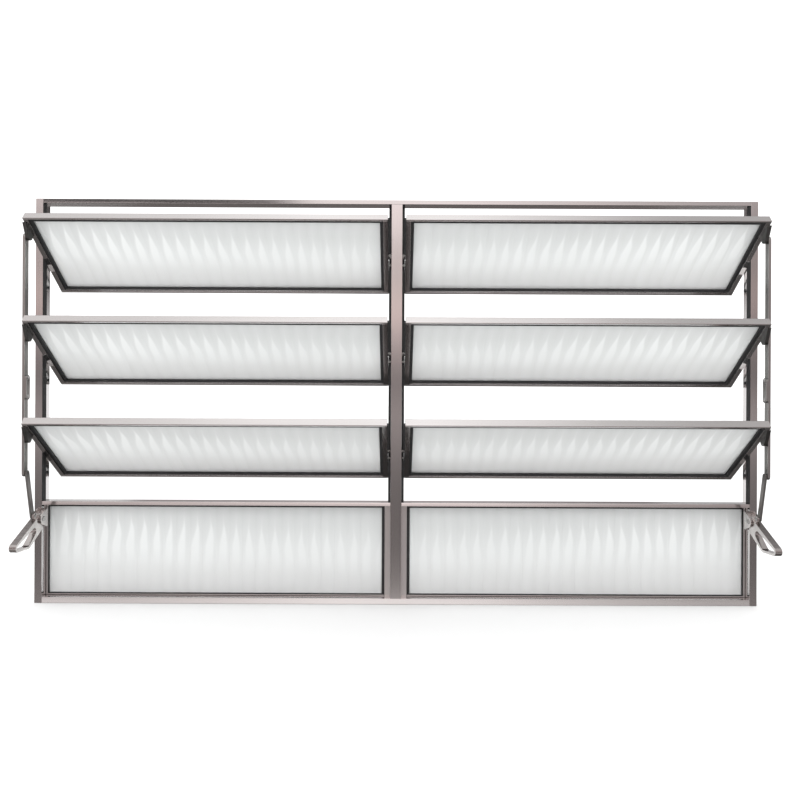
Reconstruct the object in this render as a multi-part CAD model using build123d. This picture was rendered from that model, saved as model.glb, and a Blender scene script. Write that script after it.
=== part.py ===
from build123d import *
import math
import os

os.makedirs("parts", exist_ok=True)

# The window stands in X and Z, with the room at -Y and the outdoors at +Y.
# The origin is the centre of the sill's underside, at the middle of the frame's depth.

# Outer frame, in millimetres
frame_width = 1000.0
frame_height = 560.0
frame_depth = 20.0
jamb_face = 10.0
head_face = 6.0
sill_face = 8.5
frame_wall = 1.2
mullion_nose = 15.0
mullion_flange = 22.0
mullion_flange_thickness = 3.0

# Transom and the fixed lights below it
transom_face = 5.0
fixed_light_height = 127.5
glass_thickness = 4.0
fixed_gasket_face = 4.0
fixed_gasket_foot = 3.0
fixed_gasket_thickness = 2.5
fixed_stop_hold = 3.0
fixed_stop_thickness = 1.0
fixed_bead_width = 8.0
fixed_bead_thickness = 5.0

# Fluted glass
flute_pitch = 18.5
flute_depth = 0.35
glass_edge_margin = 8.0
glass_edge_clearance = 0.5

# Tilting sashes
sash_rows = ("top", "middle", "lower")
sash_tilt = 53.0
sash_overlap = 5.5
sash_head_gap = 3.5
sash_transom_gap = 1.0
sash_side_gap = 1.0
sash_thickness = 11.0
sash_stile_face = 6.5
sash_top_face = 3.0
sash_bottom_face = 4.0
sash_rear_lip = 4.0
sash_rear_lip_thickness = 2.0
sash_drip_thickness = 1.5
sash_drip_seat = 3.0
sash_joint_gap = 0.6
sash_edge_bevel = 0.6
sash_gasket_face = 4.0
sash_gasket_setback = 1.5
pivot_setback = 4.0

# Pivot pins of the sashes
pivot_radius = 2.5
pivot_root = 2.0
running_clearance = 0.05

# Arms, rods and links that tie the sashes of one side together
arm_thickness = 4.6
arm_pin_below_top = 26.0
arm_pin_from_sash = 12.2
arm_foot_length = 24.0
arm_foot_thickness = 1.0
arm_eye_radius = 4.5
rod_thickness = 3.2
rod_depth = 9.0
rod_side_gap = 2.4
splice_height = 310.0
splice_length = 24.0
splice_thickness = 2.6
link_top_height = 184.0
link_thickness = 2.6
link_depth = 7.0
lap_gap = 0.3
linkage_pin_radius = 2.0

# Hand lever and its base
lever_pivot_forward = 11.5
lever_pivot_height = 119.0
lever_centre_from_side = 11.5
lever_width = 9.0
lever_hub_radius = 8.5
lever_crank_forward = 14.0
lever_crank_rise = 6.0
lever_ear_radius = 3.6
lever_ear_thickness = 2.6
base_plate_thickness = 2.5
base_plate_height = 25.0
base_ear_thickness = 2.2
base_ear_radius = 7.5
base_ear_gap = 0.3
lever_pin_radius = 2.5

# Finger loop of the lever: centres are forward of the lever's pivot and above it
loop_heel = (8.0, -8.0)
loop_heel_radius = 10.5
loop_belly = (34.0, -24.0)
loop_belly_radius = 10.5
loop_tip = (58.0, -28.0)
loop_tip_radius = 5.5
loop_wall = 3.2
loop_eye_start = (19.0, -14.5)
loop_eye_start_radius = 5.0

# How far a bore or a cut runs past the wall that it opens
cut_past = 1.0

# Places worked out from the sizes above
front = -frame_depth / 2
back = frame_depth / 2
jamb_inside = frame_width / 2 - jamb_face
transom_bottom = sill_face + fixed_light_height
transom_top = transom_bottom + transom_face
head_bottom = frame_height - head_face
nose_side = mullion_nose / 2
flange_side = mullion_flange / 2
sash_low_x = flange_side + sash_side_gap
sash_high_x = jamb_inside - sash_side_gap
pivot_y = front + pivot_setback
rows_height = head_bottom - sash_head_gap - transom_top - sash_transom_gap
sash_height = (rows_height + (len(sash_rows) - 1) * sash_overlap) / len(sash_rows)
top_pivot_z = head_bottom - sash_head_gap - sash_height / 2
row_pitch = sash_height - sash_overlap
row_heights = [top_pivot_z - row * row_pitch for row in range(len(sash_rows))]
tilt = math.radians(sash_tilt)
sides = (("left", -1), ("right", 1))


def block(x, y, z):
    """Solid between two values on each axis."""
    size = Box(abs(x[1] - x[0]), abs(y[1] - y[0]), abs(z[1] - z[0]))
    return Pos(sum(x) / 2, sum(y) / 2, sum(z) / 2) * size


def along_x(section, start, end):
    """Run a (Y, Z) section from one X to another."""
    return extrude(Plane.YZ.offset(start) * section, amount=end - start)


def along_z(section, start, end):
    """Run an (X, Y) section from one height to another."""
    return extrude(Plane.XY.offset(start) * section, amount=end - start)


def outline(*points):
    """Flat face inside a closed run of straight lines."""
    return make_face(Polyline(*points, close=True))


def rectangle(low, high):
    """Flat rectangle between two corners."""
    return outline(low, (high[0], low[1]), high, (low[0], high[1]))


def rod_along_x(radius, start, end, y, z):
    """Round bar that runs along X."""
    return along_x(Pos(y, z) * Circle(radius), start, end)


def mirrored(shape, side):
    """Keep a shape of the right-hand side, or turn it over to the left."""
    if side > 0:
        return shape
    return mirror(shape, about=Plane.YZ)


def write(name, *solids):
    """Write one named piece, which may hold several separate solids."""
    export_step(Compound(children=list(solids)), "parts/" + name + ".step")


def ring(low, high, y, margins):
    """Four-sided ring in the XZ plane, with its left, right, bottom and top widths."""
    left, right, bottom, top = margins
    outer = block((low[0], high[0]), y, (low[1], high[1]))
    inner = block((low[0] + left, high[0] - right), y, (low[1] + bottom, high[1] - top))
    return outer - inner


def fluted_pane(low, high, y_smooth, y_fluted):
    """Pane with a plain margin and upright convex flutes on the side at y_fluted."""
    width = high[0] - low[0]
    count = int((width - 2 * glass_edge_margin) / flute_pitch)
    start = (low[0] + high[0]) / 2 - count * flute_pitch / 2
    valley = y_fluted + math.copysign(flute_depth, y_smooth - y_fluted)
    flutes = Curve()
    for number in range(count):
        left = start + number * flute_pitch
        crest = (left + flute_pitch / 2, y_fluted)
        flutes += ThreePointArc((left, valley), crest, (left + flute_pitch, valley))
    end = start + count * flute_pitch
    rim = Polyline((end, valley), (high[0], valley), (high[0], y_smooth))
    rim += Polyline((high[0], y_smooth), (low[0], y_smooth), (low[0], valley), (start, valley))
    return along_z(make_face(flutes + rim), low[1], high[1])


def build_jamb():
    """Right-hand jamb: a hollow bar over the full height, bored for the sash pivots."""
    outer = rectangle((jamb_inside, front), (frame_width / 2, back))
    core = rectangle(
        (jamb_inside + frame_wall, front + frame_wall), (frame_width / 2 - frame_wall, back - frame_wall)
    )
    jamb = along_z(outer - core, 0, frame_height)
    through = (jamb_inside - cut_past, jamb_inside + frame_wall + cut_past)
    for height in row_heights:
        jamb -= rod_along_x(pivot_radius + running_clearance, *through, pivot_y, height)
    return jamb


def build_rail(low_z, high_z):
    """Hollow bar between the jambs, such as the head or the sill."""
    outer = rectangle((front, low_z), (back, high_z))
    core = rectangle((front + frame_wall, low_z + frame_wall), (back - frame_wall, high_z - frame_wall))
    return along_x(outer - core, -jamb_inside, jamb_inside)


def build_mullion():
    """Hollow middle post with a nose to the room and a wider flange outdoors."""
    step = back - mullion_flange_thickness
    outer = outline(
        (-nose_side, front), (nose_side, front), (nose_side, step), (flange_side, step),
        (flange_side, back), (-flange_side, back), (-flange_side, step), (-nose_side, step),
    )
    core = rectangle(
        (-nose_side + frame_wall, front + frame_wall), (nose_side - frame_wall, back - frame_wall)
    )
    mullion = along_z(outer - core, sill_face, head_bottom)
    through = (-nose_side - cut_past, nose_side + cut_past)
    for height in row_heights:
        mullion -= rod_along_x(pivot_radius + running_clearance, *through, pivot_y, height)
    return mullion


def build_transom():
    """Right-hand transom between mullion and jamb, notched round the mullion's flange."""
    outer = rectangle((front, transom_bottom), (back, transom_top))
    core = rectangle(
        (front + frame_wall, transom_bottom + frame_wall), (back - frame_wall, transom_top - frame_wall)
    )
    transom = along_x(outer - core, nose_side, jamb_inside)
    notch = block(
        (nose_side, flange_side), (back - mullion_flange_thickness, back), (transom_bottom, transom_top)
    )
    return transom - notch


def build_fixed_light():
    """Glass, gasket and stops of the right-hand fixed light."""
    bead_side = nose_side + fixed_bead_width
    glass_back = back - fixed_stop_thickness
    glass_front = glass_back - glass_thickness
    gasket_front = glass_front - fixed_gasket_thickness
    low = (bead_side, sill_face)
    high = (jamb_inside, transom_bottom)
    gasket_faces = (fixed_gasket_face, fixed_gasket_face, fixed_gasket_foot, fixed_gasket_face)
    gasket = ring(low, high, (gasket_front, glass_front), gasket_faces)
    stop_face = glass_edge_clearance + fixed_stop_hold
    stop_faces = (bead_side - flange_side + stop_face, stop_face, stop_face, stop_face)
    stop = ring((flange_side, sill_face), high, (glass_back, back), stop_faces)
    bead_front = glass_front - fixed_bead_thickness
    bead = block((nose_side, bead_side), (bead_front, glass_front), (sill_face, transom_bottom))
    glass_low = (low[0] + glass_edge_clearance, low[1] + glass_edge_clearance)
    glass_high = (high[0] - glass_edge_clearance, high[1] - glass_edge_clearance)
    glass = fluted_pane(glass_low, glass_high, glass_back, glass_front)
    return glass, gasket, [stop, bead]


def place_sash(shape, height):
    """Set a piece drawn about its pivot at its row, tilted open."""
    return Pos(0, pivot_y, height) * Rot(X=sash_tilt) * shape


sash_front = -sash_thickness / 2
sash_back = sash_thickness / 2
sash_top = sash_height / 2
drip_bottom = -sash_height / 2
body_bottom = sash_top - row_pitch + sash_joint_gap
glass_bed = sash_back - sash_rear_lip_thickness
glass_room_side = glass_bed - glass_thickness
arm_pin_along_sash = sash_top - arm_pin_below_top


def build_sash_frame():
    """Right-hand sash: top and bottom rails over the full width, stiles between them, and its pins."""
    top_inside = sash_top - sash_top_face
    bottom_inside = body_bottom + sash_bottom_face
    top_section = outline(
        (sash_front, sash_top), (sash_back, sash_top), (sash_back, top_inside - sash_rear_lip),
        (glass_bed, top_inside - sash_rear_lip), (glass_bed, top_inside), (sash_front, top_inside),
    )
    drip_face = sash_back + sash_drip_thickness
    drip_top = body_bottom + sash_drip_seat
    bottom_section = outline(
        (sash_front, body_bottom), (sash_back, body_bottom), (sash_back, drip_bottom),
        (drip_face, drip_bottom), (drip_face, drip_top), (sash_back, drip_top),
        (sash_back, bottom_inside + sash_rear_lip), (glass_bed, bottom_inside + sash_rear_lip),
        (glass_bed, bottom_inside), (sash_front, bottom_inside),
    )
    frame = along_x(top_section, sash_low_x, sash_high_x)
    frame += along_x(bottom_section, sash_low_x, sash_high_x)
    for outer_x, inward in ((sash_low_x, 1), (sash_high_x, -1)):
        face_x = outer_x + inward * sash_stile_face
        lip_x = face_x + inward * sash_rear_lip
        stile_section = outline(
            (outer_x, sash_front), (outer_x, sash_back), (lip_x, sash_back),
            (lip_x, glass_bed), (face_x, glass_bed), (face_x, sash_front),
        )
        frame += along_z(stile_section, bottom_inside, top_inside)
    long_edges = frame.edges().filter_by(Axis.X).group_by(Axis.Z)[-1]
    frame = chamfer(long_edges, sash_edge_bevel)
    frame += rod_along_x(pivot_radius, nose_side - frame_wall, sash_low_x + pivot_root, 0, 0)
    frame += rod_along_x(pivot_radius, sash_high_x - pivot_root, jamb_inside + frame_wall, 0, 0)
    return frame


def build_sash_glazing():
    """Glass and gasket of the right-hand sash."""
    low = (sash_low_x + sash_stile_face, body_bottom + sash_bottom_face)
    high = (sash_high_x - sash_stile_face, sash_top - sash_top_face)
    gasket_y = (sash_front + sash_gasket_setback, glass_room_side)
    gasket = ring(low, high, gasket_y, [sash_gasket_face] * 4)
    glass_low = (low[0] + glass_edge_clearance, low[1] + glass_edge_clearance)
    glass_high = (high[0] - glass_edge_clearance, high[1] - glass_edge_clearance)
    glass = fluted_pane(glass_low, glass_high, glass_bed, glass_room_side)
    return glass, gasket


def arm_pin(height):
    """Place in Y and Z of the arm's pin on the sash at this row."""
    y = pivot_y - arm_pin_along_sash * math.sin(tilt) - arm_pin_from_sash * math.cos(tilt)
    z = height + arm_pin_along_sash * math.cos(tilt) - arm_pin_from_sash * math.sin(tilt)
    return y, z


rod_inner_x = sash_high_x + rod_side_gap
arm_outer_x = rod_inner_x - lap_gap
arm_inner_x = arm_outer_x - arm_thickness
rod_outer_x = rod_inner_x + rod_thickness
link_outer_x = rod_inner_x - lap_gap
link_inner_x = link_outer_x - link_thickness
ear_outer_x = link_inner_x - lap_gap
ear_inner_x = ear_outer_x - lever_ear_thickness
arm_pins = [arm_pin(height) for height in row_heights]
rod_y = arm_pins[0][0]
lever_pivot_y = front - lever_pivot_forward
crank_y = lever_pivot_y - lever_crank_forward
crank_z = lever_pivot_height + lever_crank_rise
lever_centre_x = frame_width / 2 - lever_centre_from_side
base_half_width = lever_width / 2 + base_ear_gap + base_ear_thickness


def build_arm():
    """Gusset on the stile's room face, with the pin at its eye that carries the rod."""
    pin_place = (-arm_pin_from_sash, arm_pin_along_sash)
    eye = Pos(*pin_place) * Circle(arm_eye_radius)
    foot_low = arm_pin_along_sash - arm_eye_radius
    foot = rectangle(
        (sash_front - arm_foot_thickness, foot_low), (sash_front, foot_low + arm_foot_length)
    )
    gusset = along_x(make_hull(eye.edges() + foot.edges()), arm_inner_x, arm_outer_x)
    return gusset + rod_along_x(linkage_pin_radius, arm_inner_x, rod_outer_x, *pin_place)


def wrap(*circles):
    """Flat shape that a tight band round some (Y, Z, radius) circles would enclose."""
    edges = ShapeList()
    for y, z, radius in circles:
        edges += (Pos(y, z) * Circle(radius)).edges()
    return make_hull(edges)


def build_rod():
    """Long flat rod with a bore at each arm and at the link, and a splice plate on its inner side."""
    half = rod_depth / 2
    bottom = (rod_y, link_top_height)
    splice_bottom = (rod_y, splice_height - splice_length)
    rod = along_x(wrap((*bottom, half), (*arm_pins[0], half)), rod_inner_x, rod_outer_x)
    splice = wrap((*splice_bottom, half), (rod_y, splice_height, half))
    rod += along_x(splice, rod_inner_x - splice_thickness, rod_inner_x)
    for place in arm_pins + [bottom]:
        rod -= rod_along_x(linkage_pin_radius + running_clearance, rod_inner_x, rod_outer_x, *place)
    return rod


def build_link():
    """Flat link on the rod's inner side, from the rod down to the lever's ear, with a pin at each end."""
    top = (rod_y, link_top_height)
    bottom = (crank_y, crank_z)
    half = link_depth / 2
    link = along_x(wrap((*bottom, half), (*top, half)), link_inner_x, link_outer_x)
    link += rod_along_x(linkage_pin_radius, link_inner_x, rod_outer_x, *top)
    return link + rod_along_x(linkage_pin_radius, ear_inner_x, link_outer_x, *bottom)


def lever_point(forward, rise):
    """Place in Y and Z of a point named from the lever's pivot."""
    return lever_pivot_y - forward, lever_pivot_height + rise


def build_lever():
    """Hand lever: a hub, a crank ear and a D-shaped loop for the fingers."""
    outer = wrap(
        (*lever_point(*loop_heel), loop_heel_radius),
        (*lever_point(*loop_belly), loop_belly_radius),
        (*lever_point(*loop_tip), loop_tip_radius),
    )
    inner = wrap(
        (*lever_point(*loop_eye_start), loop_eye_start_radius),
        (*lever_point(*loop_belly), loop_belly_radius - loop_wall),
        (*lever_point(*loop_tip), loop_tip_radius - loop_wall),
    )
    span = (lever_centre_x - lever_width / 2, lever_centre_x + lever_width / 2)
    loop = along_x(outer, *span) - along_x(inner, *span)
    hub = rod_along_x(lever_hub_radius, *span, lever_pivot_y, lever_pivot_height)
    ear_shape = wrap(
        (crank_y, crank_z, lever_ear_radius), (lever_pivot_y, lever_pivot_height, base_ear_radius)
    )
    ear = along_x(ear_shape, ear_inner_x, ear_outer_x)
    lever = loop + hub + ear
    lever -= rod_along_x(linkage_pin_radius + running_clearance, *span, crank_y, crank_z)
    lever -= rod_along_x(lever_pin_radius + running_clearance, *span, lever_pivot_y, lever_pivot_height)
    return lever


def build_lever_base():
    """Base on the jamb's room face, with two ears and the pin that the lever turns on."""
    low_x = lever_centre_x - base_half_width
    high_x = lever_centre_x + base_half_width
    half = base_plate_height / 2
    plate_y = (front - base_plate_thickness, front)
    plate_z = (lever_pivot_height - half, lever_pivot_height + half)
    base = block((low_x, high_x), plate_y, plate_z)
    root = rectangle((plate_y[0], plate_z[0]), (plate_y[1], plate_z[1]))
    knuckle = Pos(lever_pivot_y, lever_pivot_height) * Circle(base_ear_radius)
    ear = make_hull(root.edges() + knuckle.edges())
    base += along_x(ear, low_x, low_x + base_ear_thickness)
    base += along_x(ear, high_x - base_ear_thickness, high_x)
    return base + rod_along_x(lever_pin_radius, low_x, high_x, lever_pivot_y, lever_pivot_height)


write("left_jamb", mirrored(build_jamb(), -1))
write("right_jamb", build_jamb())
write("head", build_rail(head_bottom, frame_height))
write("sill", build_rail(0, sill_face))
write("mullion", build_mullion())

sash_frame = build_sash_frame()
sash_glass, sash_gasket = build_sash_glazing()
fixed_glass, fixed_gasket, fixed_stops = build_fixed_light()

for side_name, side in sides:
    write(side_name + "_transom", mirrored(build_transom(), side))
    write(side_name + "_fixed_glass", mirrored(fixed_glass, side))
    write(side_name + "_fixed_gasket", mirrored(fixed_gasket, side))
    write(side_name + "_fixed_stops", *[mirrored(stop, side) for stop in fixed_stops])
    for row_name, row_height in zip(sash_rows, row_heights):
        label = side_name + "_" + row_name + "_sash"
        write(label + "_frame", place_sash(mirrored(sash_frame, side), row_height))
        write(label + "_glass", place_sash(mirrored(sash_glass, side), row_height))
        write(label + "_gasket", place_sash(mirrored(sash_gasket, side), row_height))
    arms = [place_sash(mirrored(build_arm(), side), height) for height in row_heights]
    write(side_name + "_sash_arms", *arms)
    write(side_name + "_rod", mirrored(build_rod(), side))
    write(side_name + "_link", mirrored(build_link(), side))
    write(side_name + "_lever", mirrored(build_lever(), side))
    write(side_name + "_lever_base", mirrored(build_lever_base(), side))
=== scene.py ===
import math

import bmesh
import bpy
from mathutils import Matrix, Vector


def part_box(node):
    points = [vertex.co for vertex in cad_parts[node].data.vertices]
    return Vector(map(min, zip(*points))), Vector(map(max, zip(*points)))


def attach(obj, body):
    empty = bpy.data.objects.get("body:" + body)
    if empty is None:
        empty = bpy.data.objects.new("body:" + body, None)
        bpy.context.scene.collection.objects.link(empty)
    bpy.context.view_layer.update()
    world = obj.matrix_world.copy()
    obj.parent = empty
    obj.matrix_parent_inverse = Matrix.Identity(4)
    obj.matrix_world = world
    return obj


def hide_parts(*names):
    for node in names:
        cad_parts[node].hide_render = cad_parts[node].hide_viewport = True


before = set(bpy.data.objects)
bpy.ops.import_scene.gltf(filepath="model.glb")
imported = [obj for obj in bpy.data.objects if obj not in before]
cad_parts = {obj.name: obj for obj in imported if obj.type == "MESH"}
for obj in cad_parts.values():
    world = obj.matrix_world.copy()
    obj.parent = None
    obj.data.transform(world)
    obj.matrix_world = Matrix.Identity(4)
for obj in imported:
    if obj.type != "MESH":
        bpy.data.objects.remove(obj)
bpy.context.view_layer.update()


# The frame bars
# Head, sill, jambs, mullion and transoms are hollow aluminium extrusions, cut square, screwed
# together and polished. Their long edges are eased, and fine draw lines run along each bar.

FRAME_EDGE_EASE = 0.0004
SHORTEST_EASED_EDGE = 0.003
CREASE_ANGLE = math.radians(28)
FLAT_ANGLE = math.radians(0.6)
MERGE_DISTANCE = 1e-6
FLAT_FACE_WEIGHT = 100
WARM_ALUMINIUM = (0.90, 0.86, 0.85, 1)
COOL_ALUMINIUM = (0.84, 0.83, 0.83, 1)
# Painted shade: the darker colour that the shaded sash stiles are mixed towards.
PAINTED_SHADE_ALUMINIUM = (0.20, 0.185, 0.18, 1)
ALUMINIUM_ROUGHNESS = 0.09
ROUGHNESS_SPREAD = 0.05
LINES_IN_COLOUR = 0.4
CLOUDS_IN_COLOUR = 0.6
CLOUD_SCALE = 9.0
LINE_HEIGHT = 0.04
POLISH_BUMP = 0.30
POLISH_DEPTH = 0.0003
HEAD_LEAN = 0.00042
SILL_LEAN = -0.00045
TRANSOM_LEAN = 0.0010

# Several sockets of a Mix node share a name, so they are told apart by number.
FIRST_VECTOR, SECOND_VECTOR, MIXED_VECTOR = 4, 5, 1
FIRST_COLOUR, SECOND_COLOUR, MIXED_COLOUR = 6, 7, 2


class Wire:
    """An output socket. A sum or a product of wires adds the Math nodes that it needs."""

    def __init__(self, bench, socket):
        self.bench = bench
        self.socket = socket

    def math(self, operation, *values):
        return self.bench.node("ShaderNodeMath", {"operation": operation}, dict(enumerate(values)))[0]

    def __add__(self, other):
        return self.math("ADD", self, other)

    def __radd__(self, other):
        return self.math("ADD", other, self)

    def __sub__(self, other):
        return self.math("SUBTRACT", self, other)

    def __rsub__(self, other):
        return self.math("SUBTRACT", other, self)

    def __mul__(self, other):
        return self.math("MULTIPLY", self, other)

    def __rmul__(self, other):
        return self.math("MULTIPLY", other, self)

    def __truediv__(self, other):
        return self.math("DIVIDE", self, other)

    def __pow__(self, other):
        return self.math("POWER", self, other)

    def __abs__(self):
        return self.math("ABSOLUTE", self)

    def __gt__(self, other):
        return self.math("GREATER_THAN", self, other)

    def __lt__(self, other):
        return self.math("LESS_THAN", self, other)

    def step(self, start, end):
        """A smooth step from nothing at the start to one at the end."""
        sockets = {"Value": self, "From Min": start, "From Max": end}
        return self.bench.node("ShaderNodeMapRange", {"interpolation_type": "SMOOTHSTEP"}, sockets)[0]


class Bench:
    """A node tree that is being put together."""

    def __init__(self, tree):
        self.tree = tree

    def node(self, kind, settings=None, sockets=None):
        """Add a node, set it up, fill its sockets, and give its outputs by number and by name."""
        made = self.tree.nodes.new(kind)
        for name, value in (settings or {}).items():
            if name == "stops":
                for stop, (place, colour) in zip(made.color_ramp.elements, value):
                    stop.position = place
                    stop.color = colour
                for place, colour in value[len(made.color_ramp.elements):]:
                    made.color_ramp.elements.new(place).color = colour
            else:
                setattr(made, name, value)
        for name, value in (sockets or {}).items():
            if isinstance(value, Wire):
                self.tree.links.new(value.socket, made.inputs[name])
            else:
                made.inputs[name].default_value = value
        outputs = {output.name: Wire(self, output) for output in made.outputs}
        outputs.update({number: Wire(self, output) for number, output in enumerate(made.outputs)})
        return outputs

    def mix_colour(self, share, first, second):
        sockets = {0: share, FIRST_COLOUR: first, SECOND_COLOUR: second}
        return self.node("ShaderNodeMix", {"data_type": "RGBA"}, sockets)[MIXED_COLOUR]

    def mix_vector(self, share, first, second):
        sockets = {0: share, FIRST_VECTOR: first, SECOND_VECTOR: second}
        return self.node("ShaderNodeMix", {"data_type": "VECTOR"}, sockets)[MIXED_VECTOR]


class Finish(Bench):
    """A material that is being put together, from Object coordinates to its shader."""

    def __init__(self, name):
        self.material = bpy.data.materials.new(name)
        self.material.use_nodes = True
        super().__init__(self.material.node_tree)
        self.tree.nodes.clear()
        self.place = self.node("ShaderNodeTexCoord")["Object"]

    def axes(self):
        parts = self.node("ShaderNodeSeparateXYZ", {}, {"Vector": self.place})
        return parts["X"], parts["Y"], parts["Z"]

    def stretched(self, scale):
        return self.node("ShaderNodeMapping", {}, {"Vector": self.place, "Scale": scale})[0]

    def noise(self, vector, scale=1.0, detail=2.0, roughness=0.5):
        sockets = {"Vector": vector, "Scale": scale, "Detail": detail, "Roughness": roughness}
        return self.node("ShaderNodeTexNoise", {}, sockets)[0]

    def bump(self, height, strength, distance):
        sockets = {"Height": height, "Strength": strength, "Distance": distance}
        return self.node("ShaderNodeBump", {}, sockets)[0]

    def close(self, sockets):
        surface = self.node("ShaderNodeBsdfPrincipled", {}, sockets)["BSDF"]
        self.node("ShaderNodeOutputMaterial", {}, {"Surface": surface})
        return self.material


def polish(finish, lines, waves, dulling=0.0, painted_shade=0.0):
    """Close a finish as polished aluminium, with draw lines and waves along the given vectors, darkened
    towards a painted shade by the given share.
    """
    line = finish.noise(lines, detail=3.0)
    wave = finish.noise(waves, detail=1.0)
    cloud = finish.noise(finish.place, scale=CLOUD_SCALE, detail=2.0)
    warmth = line * LINES_IN_COLOUR + cloud * CLOUDS_IN_COLOUR
    colour = finish.mix_colour(warmth, COOL_ALUMINIUM, WARM_ALUMINIUM)
    roughness = ALUMINIUM_ROUGHNESS + dulling + line * ROUGHNESS_SPREAD + cloud * ROUGHNESS_SPREAD
    return finish.close({
        "Base Color": finish.mix_colour(painted_shade, colour, PAINTED_SHADE_ALUMINIUM),
        "Metallic": 1.0,
        "Roughness": roughness,
        "Normal": finish.bump(wave + line * LINE_HEIGHT, POLISH_BUMP, POLISH_DEPTH),
    })


def drawn_aluminium(name, lines_per_metre, waves_per_metre, dulling=0.0):
    finish = Finish(name)
    return polish(finish, finish.stretched(lines_per_metre), finish.stretched(waves_per_metre), dulling)


def lean_front(shape, lean):
    """Set back the top edge of a bar's front face, or with a negative lean its bottom edge."""
    front = min(vert.co.y for vert in shape.verts)
    on_front = [vert for vert in shape.verts if vert.co.y < front + abs(lean) / 2]
    edge_z = max(vert.co.z * lean for vert in on_front)
    for vert in on_front:
        if vert.co.z * lean > edge_z - abs(lean) * abs(lean):
            vert.co.y += abs(lean)


def eased_copy(node, ease, material, lean=0.0, segments=2, shortest=SHORTEST_EASED_EDGE):
    """Copy a CAD node's mesh, ease its long edges, and let the copy stand for it."""
    shape = bmesh.new()
    shape.from_mesh(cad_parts[node].data)
    bmesh.ops.remove_doubles(shape, verts=shape.verts, dist=MERGE_DISTANCE)
    bmesh.ops.dissolve_limit(shape, angle_limit=FLAT_ANGLE, verts=shape.verts, edges=shape.edges)
    if lean:
        lean_front(shape, lean)
    sharp = [
        edge for edge in shape.edges
        if len(edge.link_faces) == 2
        and edge.calc_face_angle() > CREASE_ANGLE
        and edge.calc_length() > shortest
    ]
    bmesh.ops.bevel(
        shape, geom=sharp, offset=ease, offset_type="OFFSET", segments=segments, profile=0.5,
        affect="EDGES", clamp_overlap=True,
    )
    mesh = bpy.data.meshes.new(node + "_finished")
    shape.to_mesh(mesh)
    shape.free()
    piece = finished_piece(node + "_finished", mesh, material)
    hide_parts(node)
    return piece


def evaluated_mesh(made):
    """An object's mesh with its modifiers applied."""
    bpy.context.view_layer.update()
    graph = bpy.context.evaluated_depsgraph_get()
    return bpy.data.meshes.new_from_object(
        made.evaluated_get(graph), preserve_all_data_layers=True, depsgraph=graph,
    )


def finished_piece(name, mesh, material):
    """Make a mesh a piece of the window, shaded smooth up to its creases."""
    mesh.shade_smooth()
    mesh.set_sharp_from_angle(angle=CREASE_ANGLE)
    mesh.materials.clear()
    mesh.materials.append(material)
    piece = bpy.data.objects.new(name, mesh)
    bpy.context.scene.collection.objects.link(piece)
    weigher = piece.modifiers.new("flat_faces_stay_flat", "WEIGHTED_NORMAL")
    weigher.weight = FLAT_FACE_WEIGHT
    weigher.keep_sharp = True
    piece.data = evaluated_mesh(piece)
    piece.modifiers.remove(weigher)
    piece.data.name = name
    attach(piece, "root")
    return piece


LEVEL_LINES = (3.0, 700.0, 700.0)
LEVEL_WAVES = (5.0, 110.0, 110.0)
UPRIGHT_LINES = (700.0, 700.0, 3.0)
UPRIGHT_WAVES = (110.0, 110.0, 5.0)
level_aluminium = drawn_aluminium("level_bar_aluminium", LEVEL_LINES, LEVEL_WAVES)
upright_aluminium = drawn_aluminium("upright_bar_aluminium", UPRIGHT_LINES, UPRIGHT_WAVES)
for bar, lean in (
    ("head", HEAD_LEAN),
    ("sill", SILL_LEAN),
    ("left_transom", TRANSOM_LEAN),
    ("right_transom", TRANSOM_LEAN),
):
    eased_copy(bar, FRAME_EDGE_EASE, level_aluminium, lean=lean)
for bar in ("left_jamb", "right_jamb", "mullion"):
    eased_copy(bar, FRAME_EDGE_EASE, upright_aluminium)


# The seals and shade strips beside the sashes
# Strips of black rubber close the running gaps, one in the front half of each jamb's inner face.
# On each edge of the mullion's flange lies a black strip of the same rubber, painted shade that
# darkens the flange. Those on the stiles are made with the sashes.

SEAL_THICKNESS = 0.0009
SEAL_SETBACK = 0.0003
JAMB_SEAL_WIDTH = 0.0092
SEAL_EASE = 0.0002
NOSE_HALF = 0.0075
FLANGE_FRONT = 0.007
FLANGE_SHADE_STRIP_THICKNESS = 0.0012
FLANGE_SHADE_STRIP_EASE = 0.0003
RUBBER_BLACK = (0.016, 0.016, 0.017, 1)
RUBBER_DUST = (0.05, 0.05, 0.05, 1)
RUBBER_ROUGHNESS = 0.42
DUST_SCALE = 130.0
DUST_CONTRAST = 3.0
DUST_ROUGHNESS = 0.25
PORE_SCALE = 1500.0
PORE_BUMP = 0.15
PORE_DEPTH = 0.0002


def rubber(name):
    finish = Finish(name)
    dust = finish.noise(finish.place, scale=DUST_SCALE, detail=4.0)
    pores = finish.noise(finish.place, scale=PORE_SCALE, detail=1.0)
    return finish.close({
        "Base Color": finish.mix_colour(dust ** DUST_CONTRAST, RUBBER_BLACK, RUBBER_DUST),
        "Roughness": RUBBER_ROUGHNESS + dust * DUST_ROUGHNESS,
        "Normal": finish.bump(pores, PORE_BUMP, PORE_DEPTH),
    })


def eased_bars(bars, ease):
    """Bars with eased edges, each between two corners."""
    shape = bmesh.new()
    for low, high in bars:
        place = Matrix.Translation((low + high) / 2) @ Matrix.Diagonal((*(high - low), 1))
        bmesh.ops.create_cube(shape, size=1.0, matrix=place)
    bmesh.ops.bevel(shape, geom=shape.edges, offset=ease, segments=2, profile=0.5, affect="EDGES")
    return shape


def bar_piece(name, shape, material):
    """Make a piece of the window from bars that are in their place."""
    mesh = bpy.data.meshes.new(name)
    shape.to_mesh(mesh)
    shape.free()
    return finished_piece(name, mesh, material)


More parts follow.
